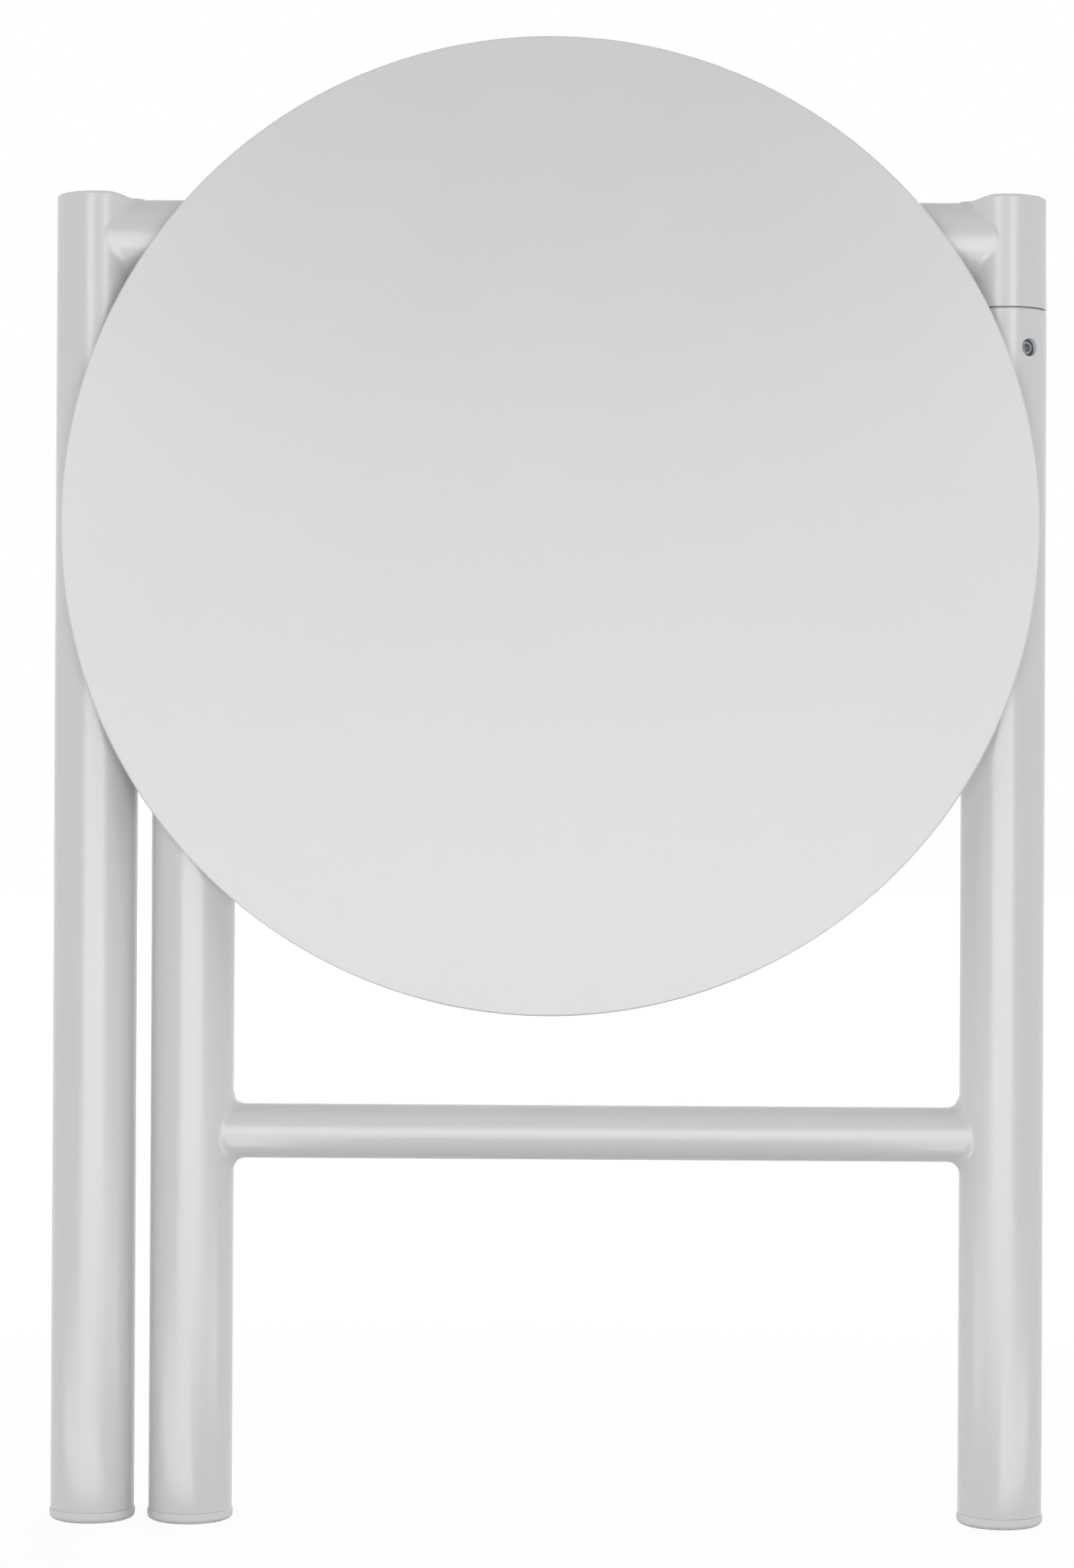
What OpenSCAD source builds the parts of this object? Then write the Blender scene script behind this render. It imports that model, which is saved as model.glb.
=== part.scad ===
// Three-legged folding stool, shown folded: a round disc seat hangs in front
// of a tube frame. The seat turns up about the upper crossbar. The right leg,
// the lower crossbar and the third leg turn together about the right post.
// Origin: on the floor, midway between the axes of the two outer posts.
// +Z is up, +X to the right and -Y towards the viewer.

/* [Frame] */
// Height of the post tops above the floor
post_top = 444.5; // [420:0.5:480]
// Distance between the axes of the two outer posts
post_span = 305; // [290:1:340]
// Outside diameter of the leg tubes
leg_d = 28; // [26:0.5:30]
// Wall of the leg tubes
leg_wall = 1.5; // [1.2:0.1:2]
// Free gap between the left leg and the third leg
third_leg_gap = 5; // [3:0.5:12]
// Eased rim at the top of the posts
rim_ease = 0.8; // [0.4:0.1:1.2]

/* [Crossbars] */
// Step from the legs' sides to the upper crossbar's sides
upper_bar_inset = 0.5; // [0.5:0.25:2]
// Step from the legs' sides to the lower crossbar's sides
lower_bar_inset = 4.5; // [2:0.25:5.5]
// Wall of both crossbars
bar_wall = 1.5; // [1.2:0.1:2]
// Depth of the upper crossbar's top below the post tops
upper_bar_drop = 0.8; // [0.8:0.1:4]
// Height of the lower crossbar's axis above the floor
lower_bar_z = 130.5; // [90:0.5:145]
// Fillet radius at the upper crossbar's ends
upper_fillet_r = 5; // [2.5:0.5:6]
// Fillet radius at the lower crossbar's ends
lower_fillet_r = 4; // [2:0.5:6]

/* [Swivel] */
// Depth of the swivel seam below the post tops
seam_drop = 37.6; // [32:0.1:48]
// Open height of the seam
seam_gap = 0.6; // [0.4:0.1:1.2]
// Spindle diameter, as a share of the leg tube's bore
spindle_share = 0.64; // [0.56:0.01:0.72]
// Length of the spindle below the seam
spindle_length = 62; // [58:1:80]
// Length of the spindle's head in the hinge post
spindle_head_length = 20; // [12:1:24]
// Length of the sleeve in the right leg
sleeve_length = 64; // [62:1:80]
// Wall of the bushes
swivel_bush_wall = 1.4; // [1.2:0.1:1.8]
// Length of each bush
swivel_bush_length = 9; // [7:0.5:9.5]
// Depth of the access hole below the post tops
hole_drop = 51.1; // [51:0.1:54]
// Diameter of the access hole
hole_d = 6; // [5.4:0.1:7]
// Bearing of the access hole, from the front towards the outside
hole_bearing = 30; // [0:1:60]
// Diameter of the swivel screw
screw_d = 5; // [4:0.5:5]
// Diameter of each screw's point
point_d = 3.4; // [2.4:0.1:3.4]
// Depth of the ring groove that the point runs in
groove_depth = 1.4; // [0.8:0.1:1.8]

/* [Seat] */
// Diameter of the seat disc
seat_d = 325; // [310:1:330]
// Thickness of the seat disc
seat_t = 3; // [2.5:0.5:5]
// Distance from the upper crossbar's axis to the disc's centre
seat_offset = 97.5; // [92:0.1:106]
// Free gap between the legs and the disc's underside
seat_clearance = 2.6; // [2.6:0.1:4]
// Distance between the middles of the two hinge sleeves
knuckle_span = 140; // [100:1:170]
// Length of each hinge sleeve
knuckle_length = 30; // [24:1:40]
// Wall of the hinge sleeves
knuckle_wall = 2; // [1.6:0.1:2.2]
// Wall of the liners in the hinge sleeves
liner_wall = 1.2; // [1:0.1:1.3]
// Width of the saddle blocks
saddle_width = 30; // [26:1:31]
// Depth of the saddle blocks behind the disc
saddle_depth = 7; // [5:0.5:8]
// Thickness of the saddle blocks between the sleeves' flats and the disc
saddle_web = 0.8; // [0.6:0.1:1]
// Lift of the seat past level that lets the third leg swing under it
lift_angle = 1; // [0.5:0.5:3]

/* [Support and pads] */
// Diameter of the support post
support_d = 14; // [12:0.5:20]
// Fillet radius round the support post
support_fillet_r = 4; // [2:0.5:6]
// Diameter of the support pad
pad_d = 20; // [16:0.5:24]
// Thickness of the support pad
pad_t = 4; // [3:0.5:6]
// Diameter of the pad's plug
pad_plug_d = 7; // [5:0.5:8]
// Length of the pad's plug
pad_plug_length = 8; // [6:0.5:10]
// Diameter of the bumpers
bumper_d = 12; // [8:0.5:14]
// Thickness of the bumpers
bumper_t = 2.3; // [1:0.1:2.3]

/* [Feet and caps] */
// Height of the foot flanges
foot_h = 3.5; // [3:0.1:6]
// Step of the foot flanges past the tubes
foot_step = 0.3; // [0:0.1:1]
// Rounded lower edge of the feet
foot_round = 1.6; // [0.8:0.1:2.4]
// Length of the foot plugs inside the tubes
plug_length = 18; // [12:1:30]
// Wall of the foot plugs
plug_wall = 2; // [1.6:0.1:3]
// Thickness of the discs that close the post tops
cap_t = 3; // [2:0.5:5]
// Thickness of the third leg's top flange
top_flange_t = 2.5; // [2:0.5:4]
// Drop of the third leg's top below the upper crossbar
third_leg_drop = 4.7; // [2:0.1:8]

/* [Hidden] */
$fn = 96;

// Clearances and small sizes
run_gap = 0.05;
fit_gap = 0.05;
free_gap = 0.3;
weld_gap = 0.04;
tube_ease = 0.3;
liner_ease = 0.3;
chamfer = 1;
overrun = 2;
socket_flats = 2.5;
socket_depth = 2;
screw_recess = 1.8;

// Counts
ring_steps = 48;
arc_steps = 4;

// Frame
leg_r = leg_d / 2;
leg_bore_r = leg_r - leg_wall;
upper_bar_r = leg_r - upper_bar_inset;
upper_bore_r = upper_bar_r - bar_wall;
lower_bar_r = leg_r - lower_bar_inset;
post_x = post_span / 2;
third_leg_span = post_span - leg_d - third_leg_gap;
third_leg_x = post_x - third_leg_span;
upper_bar_z = post_top - upper_bar_drop - upper_bar_r;
third_leg_top = upper_bar_z - upper_bar_r - third_leg_drop;
insert_r = leg_bore_r - fit_gap;

// Third leg's reach in front of the posts when the stool is open
reach = sqrt(pow(third_leg_span, 2) - pow(post_x, 2));

// Swivel
seam_z = post_top - seam_drop;
right_leg_top = seam_z - seam_gap;
spindle_r = leg_bore_r * spindle_share;
swivel_bush_r = spindle_r + run_gap + swivel_bush_wall;
sleeve_bore_r = swivel_bush_r + fit_gap;
sleeve_foot = right_leg_top - sleeve_length;
hole_z = post_top - hole_drop;
point_r = point_d / 2;
screw_r = screw_d / 2;
groove_r = spindle_r - groove_depth;

// Seat
seat_z = upper_bar_z - seat_offset;
seat_r = seat_d / 2;
seat_standoff = leg_r + seat_clearance;
tilt_range = 90 + lift_angle;
flat_depth = seat_standoff - saddle_web;
liner_r = upper_bar_r + run_gap + liner_wall;
knuckle_bore_r = liner_r + fit_gap;
knuckle_r = knuckle_bore_r + knuckle_wall;
knuckle_x = knuckle_span / 2;
slot_margin = asin((point_r + free_gap) / upper_bar_r);
support_length = seat_standoff + upper_bar_z - third_leg_top - free_gap - pad_t;
support_z = upper_bar_z - reach;
pad_plug_r = pad_plug_d / 2;

frame_colour = [0.80, 0.82, 0.81];
seat_colour = [0.82, 0.84, 0.83];
foot_colour = [0.72, 0.74, 0.73];
nylon_colour = [0.30, 0.31, 0.32];
rubber_colour = [0.16, 0.16, 0.17];
steel_colour = [0.62, 0.63, 0.64];

// A tube on the Z axis with eased outer rims
module tube(outer, bore, low, high, ease_low, ease_high) {
    rotate_extrude()
        polygon([
            [bore, low],
            [outer - ease_low, low],
            [outer, low + ease_low],
            [outer, high - ease_high],
            [outer - ease_high, high],
            [bore, high]
        ]);
}

// A round bar or disc on the Z axis with eased rims
module rod(outer, low, high, ease_low, ease_high) {
    tube(outer, 0, low, high, ease_low, ease_high);
}

// Children drawn along +Z are turned to point along +X
module along_x() {
    rotate([0, 90, 0])
        children();
}

// Children drawn along +Z from the seat's back face point away from the disc
module behind_seat(x, z) {
    translate([x, -seat_standoff, z])
        rotate([-90, 0, 0])
            children();
}

// Children drawn along +Z point outwards from the right post at the access hole
module at_screw() {
    translate([post_x, 0, hole_z])
        rotate([0, 0, hole_bearing - 90])
            along_x()
                children();
}

// Fillet of a ball rolled round the corner of a bar on +X and a post on Z:
// the section at one bearing round the bar, from the bar to the post
function fillet_section(bar, post, ball, bearing) =
    let (
        cy = (bar + ball) * sin(bearing),
        cz = (bar + ball) * cos(bearing),
        cx = sqrt(pow(post + ball, 2) - cy * cy),
        to_bar = [0, -sin(bearing), -cos(bearing)],
        to_post = [-cx, -cy, 0] / (post + ball),
        sweep = acos(to_bar * to_post),
        jy = bar * sin(bearing),
        corner = [sqrt(post * post - jy * jy), jy, bar * cos(bearing)]
    )
    [
        for (i = [0 : arc_steps])
            [cx, cy, cz] + ball * (
                to_bar * sin(sweep * (1 - i / arc_steps))
                + to_post * sin(sweep * i / arc_steps)
            ) / sin(sweep),
        corner
    ];

// The whole ring of such a fillet
module fillet_ring(bar, ball) {
    count = arc_steps + 2;
    points = [
        for (k = [0 : ring_steps - 1])
            each fillet_section(
                bar + weld_gap, leg_r + weld_gap, ball, 360 * k / ring_steps
            )
    ];
    faces = [
        for (k = [0 : ring_steps - 1], i = [0 : count - 1])
            let (
                here = k * count,
                next = ((k + 1) % ring_steps) * count,
                j = (i + 1) % count
            )
            each [
                [here + i, here + j, next + j],
                [here + i, next + j, next + i]
            ]
    ];
    polyhedron(points, faces, convexity = 4);
}

// A leg tube between two heights
module leg_tube(low, high, ease_low, ease_high) {
    color(frame_colour)
        tube(leg_r, leg_bore_r, low, high, ease_low, ease_high);
}

// A crossbar between two upright tubes, coped to fit round them
module crossbar(bar, from_x, to_x) {
    difference() {
        translate([from_x, 0, 0])
            along_x()
                tube(bar, bar - bar_wall, 0, to_x - from_x, 0, 0);
        for (x = [from_x, to_x])
            translate([x, 0, -leg_d])
                cylinder(r = leg_r + weld_gap, h = 2 * leg_d);
    }
}

// The steel disc that closes a post's top, flush with its rim
module post_cap() {
    color(frame_colour)
        rod(insert_r, post_top - cap_t, post_top, 0, 0);
}

// A foot: a rounded flange under the tube and a hollow plug inside it
module foot() {
    color(foot_colour)
        rotate_extrude()
            union() {
                square([leg_r + foot_step - foot_round, foot_h]);
                translate([0, foot_round])
                    square([leg_r + foot_step, foot_h - foot_round]);
                translate([leg_r + foot_step - foot_round, foot_round])
                    circle(r = foot_round);
                translate([insert_r - plug_wall, 0])
                    square([plug_wall, foot_h + plug_length]);
            }
}

// A socket screw along +Z with its point at the foot of its shank
module socket_screw(point_low, shank_low, shank_high) {
    color(steel_colour)
        difference() {
            union() {
                rod(point_r, point_low, shank_low + tube_ease, tube_ease, 0);
                rod(screw_r, shank_low, shank_high, 0, tube_ease);
            }
            translate([0, 0, shank_high - socket_depth])
                cylinder(d = socket_flats / cos(30), h = socket_depth + overrun, $fn = 6);
        }
}

module left_leg() {
    translate([-post_x, 0, 0])
        leg_tube(foot_h, post_top, tube_ease, rim_ease);
}

module left_leg_cap() {
    translate([-post_x, 0, 0])
        post_cap();
}

module left_foot() {
    translate([-post_x, 0, 0])
        foot();
}

// The upper bar, with a slot through its wall for the point of each seat screw
module upper_crossbar() {
    color(frame_colour)
        translate([0, 0, upper_bar_z])
            difference() {
                crossbar(upper_bar_r, -post_x, post_x);
                for (x = [-knuckle_x, knuckle_x])
                    translate([x, 0, 0])
                        along_x()
                            rotate([0, 0, -tilt_range - slot_margin])
                                rotate_extrude(angle = tilt_range + 2 * slot_margin)
                                    translate([upper_bore_r - overrun, -point_r - free_gap])
                                        square([bar_wall + 2 * overrun, 2 * (point_r + free_gap)]);
            }
}

// A fillet at the upper bar's end, ground flush below the post's rim
module upper_weld() {
    color(frame_colour)
        difference() {
            translate([0, 0, upper_bar_z])
                fillet_ring(upper_bar_r, upper_fillet_r);
            translate([-leg_d, -leg_d, post_top - rim_ease])
                cube([3 * leg_d, 2 * leg_d, leg_d]);
        }
}

module weld_upper_left() {
    translate([-post_x, 0, 0])
        upper_weld();
}

module weld_upper_right() {
    translate([post_x, 0, 0])
        mirror([1, 0, 0])
            upper_weld();
}

module hinge_post() {
    translate([post_x, 0, 0])
        leg_tube(seam_z, post_top, tube_ease, rim_ease);
}

module hinge_post_cap() {
    translate([post_x, 0, 0])
        post_cap();
}

// The spindle: a head fixed in the hinge post and a journal with a ring groove
module hinge_spindle() {
    groove_half = point_r + free_gap;
    color(steel_colour)
        translate([post_x, 0, 0])
            difference() {
                union() {
                    rod(insert_r, seam_z, seam_z + spindle_head_length, 0, chamfer);
                    rod(spindle_r, seam_z - spindle_length, seam_z + chamfer, chamfer, 0);
                }
                translate([0, 0, hole_z - groove_half])
                    tube(spindle_r + overrun, groove_r, 0, 2 * groove_half, 0, 0);
            }
}

// The right leg below the seam, with the access hole through its wall
module right_leg() {
    color(frame_colour)
        difference() {
            translate([post_x, 0, 0])
                tube(leg_r, leg_bore_r, foot_h, right_leg_top, tube_ease, tube_ease);
            at_screw()
                translate([0, 0, leg_bore_r - overrun])
                    cylinder(d = hole_d, h = leg_wall + 2 * overrun);
        }
}

// The sleeve in the right leg, with the hole that holds the screw
module hinge_sleeve() {
    color(steel_colour)
        difference() {
            translate([post_x, 0, 0])
                tube(insert_r, sleeve_bore_r, sleeve_foot, right_leg_top, 0, 0);
            at_screw()
                cylinder(r = screw_r + fit_gap, h = leg_d);
        }
}

module hinge_bush_upper() {
    color(nylon_colour)
        translate([post_x, 0, 0])
            union() {
                tube(
                    swivel_bush_r, spindle_r + run_gap,
                    right_leg_top - swivel_bush_length, right_leg_top, 0, 0
                );
                tube(
                    leg_r - chamfer, spindle_r + run_gap,
                    right_leg_top, seam_z - run_gap, 0, 0
                );
            }
}

module hinge_bush_lower() {
    color(nylon_colour)
        translate([post_x, 0, 0])
            union() {
                tube(
                    swivel_bush_r, spindle_r + run_gap,
                    sleeve_foot, sleeve_foot + swivel_bush_length, 0, 0
                );
                tube(
                    insert_r - fit_gap, spindle_r + run_gap,
                    sleeve_foot - swivel_bush_wall, sleeve_foot, 0, 0
                );
            }
}

module hinge_screw() {
    at_screw()
        socket_screw(
            groove_r + free_gap, sleeve_bore_r, leg_r - screw_recess
        );
}

module lower_crossbar() {
    color(frame_colour)
        translate([0, 0, lower_bar_z])
            crossbar(lower_bar_r, third_leg_x, post_x);
}

module third_leg() {
    translate([third_leg_x, 0, 0])
        leg_tube(foot_h, third_leg_top - top_flange_t, tube_ease, tube_ease);
}

// The plug in the third leg's top, with a flat face for the support pad
module third_leg_cap() {
    flange_low = third_leg_top - top_flange_t;
    color(foot_colour)
        translate([third_leg_x, 0, 0])
            union() {
                rod(leg_r, flange_low, third_leg_top, 0, chamfer);
                tube(
                    insert_r, insert_r - plug_wall,
                    flange_low - plug_length, flange_low + tube_ease, chamfer, 0
                );
            }
}

module weld_lower_inner() {
    color(frame_colour)
        translate([third_leg_x, 0, lower_bar_z])
            fillet_ring(lower_bar_r, lower_fillet_r);
}

module weld_lower_right() {
    color(frame_colour)
        translate([post_x, 0, lower_bar_z])
            mirror([1, 0, 0])
                fillet_ring(lower_bar_r, lower_fillet_r);
}

module right_foot() {
    translate([post_x, 0, 0])
        foot();
}

module third_foot() {
    translate([third_leg_x, 0, 0])
        foot();
}

// The seat: a flat disc with a rounded edge
module seat_disc() {
    edge_r = seat_t / 2;
    color(seat_colour)
        behind_seat(0, seat_z)
            translate([0, 0, -seat_t])
                rotate_extrude()
                    union() {
                        square([seat_r - edge_r, seat_t]);
                        translate([seat_r - edge_r, edge_r])
                            circle(r = edge_r);
                    }
}

// A hinge sleeve at one place along the crossbar, with its screw's hole below
// and a flat on the side of the disc
module knuckle(x) {
    color(frame_colour)
        translate([x, 0, upper_bar_z])
            difference() {
                along_x()
                    tube(
                        knuckle_r, knuckle_bore_r,
                        -knuckle_length / 2, knuckle_length / 2, tube_ease, tube_ease
                    );
                rotate([180, 0, 0])
                    cylinder(r = screw_r + fit_gap, h = 2 * knuckle_r);
                translate([-knuckle_length, fit_gap - flat_depth - knuckle_r, -knuckle_r])
                    cube([2 * knuckle_length, knuckle_r, 2 * knuckle_r]);
            }
}

module knuckle_bush(x) {
    color(nylon_colour)
        translate([x, 0, upper_bar_z])
            difference() {
                along_x()
                    tube(
                        liner_r, upper_bar_r + run_gap,
                        -knuckle_length / 2, knuckle_length / 2, liner_ease, liner_ease
                    );
                rotate([180, 0, 0])
                    cylinder(r = point_r + free_gap, h = 2 * knuckle_r);
            }
}

// The block between a hinge sleeve and the disc, hollowed to hold the sleeve
module saddle(x) {
    color(frame_colour)
        translate([x, 0, upper_bar_z])
            difference() {
                translate([-knuckle_length / 2, -seat_standoff, -saddle_width / 2])
                    cube([knuckle_length, saddle_depth, saddle_width]);
                intersection() {
                    along_x()
                        translate([0, 0, -knuckle_length])
                            cylinder(r = knuckle_r + fit_gap, h = 2 * knuckle_length);
                    translate([-knuckle_length, -flat_depth, -2 * knuckle_r])
                        cube([2 * knuckle_length, 2 * knuckle_r, 4 * knuckle_r]);
                }
            }
}

module knuckle_screw(x) {
    translate([x, 0, upper_bar_z])
        rotate([180, 0, 0])
            socket_screw(upper_bore_r + free_gap, knuckle_bore_r, knuckle_r);
}

module knuckle_left() {
    knuckle(-knuckle_x);
}

module knuckle_right() {
    knuckle(knuckle_x);
}

module knuckle_bush_left() {
    knuckle_bush(-knuckle_x);
}

module knuckle_bush_right() {
    knuckle_bush(knuckle_x);
}

module saddle_left() {
    saddle(-knuckle_x);
}

module saddle_right() {
    saddle(knuckle_x);
}

module knuckle_screw_left() {
    knuckle_screw(-knuckle_x);
}

module knuckle_screw_right() {
    knuckle_screw(knuckle_x);
}

// The rod under the disc that stands over the third leg when the seat is level
module support_post() {
    color(frame_colour)
        behind_seat(0, support_z)
            difference() {
                rod(support_d / 2, 0, support_length, 0, tube_ease);
                translate([0, 0, support_length - pad_plug_length - free_gap])
                    cylinder(r = pad_plug_r + fit_gap, h = pad_plug_length + overrun);
            }
}

module support_weld() {
    color(frame_colour)
        behind_seat(0, support_z)
            rotate_extrude()
                translate([support_d / 2 + fit_gap, 0])
                    difference() {
                        square(support_fillet_r);
                        translate([support_fillet_r, support_fillet_r])
                            circle(r = support_fillet_r - tube_ease);
                    }
}

module support_pad() {
    color(rubber_colour)
        behind_seat(0, support_z)
            union() {
                rod(
                    pad_d / 2, support_length, support_length + pad_t,
                    tube_ease, tube_ease
                );
                rod(
                    pad_plug_r, support_length - pad_plug_length,
                    support_length + tube_ease, tube_ease, 0
                );
            }
}

module bumper(x) {
    color(rubber_colour)
        behind_seat(x, seat_z)
            rod(bumper_d / 2, 0, bumper_t, 0, tube_ease);
}

module bumper_left() {
    bumper(-post_x);
}

module bumper_right() {
    bumper(post_x);
}

left_leg();
left_leg_cap();
left_foot();
upper_crossbar();
weld_upper_left();
weld_upper_right();
hinge_post();
hinge_post_cap();
hinge_spindle();
right_leg();
hinge_sleeve();
hinge_bush_upper();
hinge_bush_lower();
hinge_screw();
lower_crossbar();
third_leg();
third_leg_cap();
weld_lower_inner();
weld_lower_right();
right_foot();
third_foot();
seat_disc();
knuckle_left();
knuckle_right();
knuckle_bush_left();
knuckle_bush_right();
saddle_left();
saddle_right();
knuckle_screw_left();
knuckle_screw_right();
support_post();
support_weld();
support_pad();
bumper_left();
bumper_right();
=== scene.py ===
import math

import bmesh
import bpy
from mathutils import Matrix, Vector


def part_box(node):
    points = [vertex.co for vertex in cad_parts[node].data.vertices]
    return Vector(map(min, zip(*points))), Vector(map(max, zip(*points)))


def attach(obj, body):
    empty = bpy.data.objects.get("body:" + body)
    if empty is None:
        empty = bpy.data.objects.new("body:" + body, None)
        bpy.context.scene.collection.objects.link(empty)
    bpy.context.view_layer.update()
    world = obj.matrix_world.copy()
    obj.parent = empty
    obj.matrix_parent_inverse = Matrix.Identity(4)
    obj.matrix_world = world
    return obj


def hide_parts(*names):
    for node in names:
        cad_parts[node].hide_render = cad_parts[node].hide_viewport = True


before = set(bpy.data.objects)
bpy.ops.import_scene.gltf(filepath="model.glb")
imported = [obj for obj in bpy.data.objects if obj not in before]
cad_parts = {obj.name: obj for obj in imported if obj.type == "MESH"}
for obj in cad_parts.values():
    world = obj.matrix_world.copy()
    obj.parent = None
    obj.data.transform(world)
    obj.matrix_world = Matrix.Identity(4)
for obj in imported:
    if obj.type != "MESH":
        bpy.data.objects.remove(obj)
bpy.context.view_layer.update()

bl_info = {
    "name": "Folding Disc Stool",
    "version": (1, 0, 0),
    "blender": (4, 5, 0),
    "location": "View3D > Sidebar > Stool",
    "description": "Builds a three-legged folding stool with a hanging disc seat",
    "category": "Object",
}

MM = 0.001
TOUCH = 1e-7  # points nearer than this are one point
FIT = 0.05 * MM  # gap round a liner, a bush and their bars
FIXED, SWING, SEAT = "fixed_frame", "swing_frame", "seat"


def middle(node):
    """The centre of a node's box."""
    low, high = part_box(node)
    return (low + high) / 2


def extent(node):
    """The three sides of a node's box."""
    low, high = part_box(node)
    return high - low


# Places and sizes taken from the frame
LEG_R = extent("left_leg").x / 2
LEFT_X = middle("left_leg").x
RIGHT_X = middle("hinge_post").x
THIRD_X = middle("third_leg").x
POST_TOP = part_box("left_leg")[1].z
TUBE_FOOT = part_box("left_leg")[0].z
SEAM_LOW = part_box("right_leg")[1].z
SEAM_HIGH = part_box("hinge_post")[0].z
THIRD_TUBE_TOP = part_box("third_leg")[1].z
THIRD_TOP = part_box("third_leg_cap")[1].z
UPPER_R = extent("upper_crossbar").z / 2
LOWER_R = extent("lower_crossbar").z / 2
UPPER_Z = middle("upper_crossbar").z
LOWER_Z = middle("lower_crossbar").z
HOLE_Z = middle("hinge_screw").z
FOOT_R = extent("left_foot").x / 2
PLUG_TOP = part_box("left_foot")[1].z
INSERT_R = extent("left_leg_cap").x / 2
CAP_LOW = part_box("left_leg_cap")[0].z
SEAT_R = extent("seat_disc").x / 2
SEAT_Z = middle("seat_disc").z
SEAT_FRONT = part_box("seat_disc")[0].y
SEAT_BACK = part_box("seat_disc")[1].y
KNUCKLE_R = extent("knuckle_left").z / 2
KNUCKLE_X = middle("knuckle_right").x
KNUCKLE_LONG = extent("knuckle_left").x
LINER_R = extent("knuckle_bush_left").z / 2
SLEEVE_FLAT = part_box("knuckle_left")[0].y
SADDLE_HIGH = extent("saddle_left").z
SADDLE_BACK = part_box("saddle_left")[1].y
SUPPORT_Z = middle("support_post").z
SUPPORT_R = extent("support_post").x / 2
SUPPORT_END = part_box("support_post")[1].y
PAD_R = extent("support_pad").x / 2
PAD_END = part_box("support_pad")[1].y
BUMPER_R = extent("bumper_left").x / 2
BUMPER_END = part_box("bumper_left")[1].y
BUMPER_X = middle("bumper_right").x


def smooth_step(low, high, value):
    """0 below low, 1 above high, and a smooth S between."""
    t = min(1.0, max(0.0, (value - low) / (high - low)))
    return t * t * (3 - 2 * t)


def linear(*levels):
    """A colour given as 0 to 255 display levels, in scene-linear values."""
    out = []
    for level in levels:
        v = level / 255
        out.append(v / 12.92 if v <= 0.04045 else ((v + 0.055) / 1.055) ** 2.4)
    return tuple(out)


class StoolSizes(bpy.types.PropertyGroup):
    """Small sizes of the stool that the frame doesn't give."""

    tube_wall: bpy.props.FloatProperty(
        name="Tube wall", description="Wall of the leg tubes and crossbars",
        default=1.5 * MM, min=1.0 * MM, max=2.5 * MM, unit="LENGTH", precision=4,
    )
    rim_round: bpy.props.FloatProperty(
        name="Post rim", description="Rounding of the rims at the post tops",
        default=1.1 * MM, min=0.2 * MM, max=1.4 * MM, unit="LENGTH", precision=4,
    )
    seam_round: bpy.props.FloatProperty(
        name="Seam edge", description="Easing of the tube ends at the swivel seam",
        default=0.22 * MM, min=0.1 * MM, max=1.0 * MM, unit="LENGTH", precision=4,
    )
    upper_fillet: bpy.props.FloatProperty(
        name="Upper fillet", description="Fillet radius at the upper crossbar",
        default=5.0 * MM, min=2.0 * MM, max=7.0 * MM, unit="LENGTH", precision=4,
    )
    lower_fillet: bpy.props.FloatProperty(
        name="Lower fillet", description="Fillet radius at the lower crossbar",
        default=4.0 * MM, min=2.0 * MM, max=7.0 * MM, unit="LENGTH", precision=4,
    )
    hole_width: bpy.props.FloatProperty(
        name="Access hole", description="Diameter of the hole over the swivel screw",
        default=6.0 * MM, min=4.0 * MM, max=8.0 * MM, unit="LENGTH", precision=4,
    )
    hole_bearing: bpy.props.FloatProperty(
        name="Hole bearing", description="Turn of the access hole away from the front",
        default=math.radians(30), min=0.0, max=math.radians(80), unit="ROTATION",
    )
    screw_hole: bpy.props.FloatProperty(
        name="Seat screw hole", description="Diameter of the holes for the seat screws",
        default=5.1 * MM, min=3.0 * MM, max=7.0 * MM, unit="LENGTH", precision=4,
    )
    seat_edge: bpy.props.FloatProperty(
        name="Seat edge", description="Rounding of the seat disc's edge",
        default=0.7 * MM, min=0.3 * MM, max=1.45 * MM, unit="LENGTH", precision=4,
    )
    foot_round: bpy.props.FloatProperty(
        name="Foot edge", description="Rounding of the feet at the floor",
        default=1.6 * MM, min=0.4 * MM, max=2.6 * MM, unit="LENGTH", precision=4,
    )


class StoolColours(bpy.types.PropertyGroup):
    """The stool's colours."""

    coat: bpy.props.FloatVectorProperty(
        name="Powder coat", description="Colour of the coated steel",
        default=linear(214, 216, 215), size=3, min=0, max=1, subtype="COLOR",
    )
    foot: bpy.props.FloatVectorProperty(
        name="Feet", description="Colour of the moulded feet and the third leg's cap",
        default=linear(218, 220, 219), size=3, min=0, max=1, subtype="COLOR",
    )
    nylon: bpy.props.FloatVectorProperty(
        name="Nylon", description="Colour of the bushes and liners",
        default=linear(166, 168, 168), size=3, min=0, max=1, subtype="COLOR",
    )
    rubber: bpy.props.FloatVectorProperty(
        name="Rubber", description="Colour of the support pad and the bumpers",
        default=linear(52, 52, 54), size=3, min=0, max=1, subtype="COLOR",
    )
    steel: bpy.props.FloatVectorProperty(
        name="Zinc", description="Colour of the plated spindle, sleeve and screws",
        default=linear(146, 148, 152), size=3, min=0, max=1, subtype="COLOR",
    )


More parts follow.
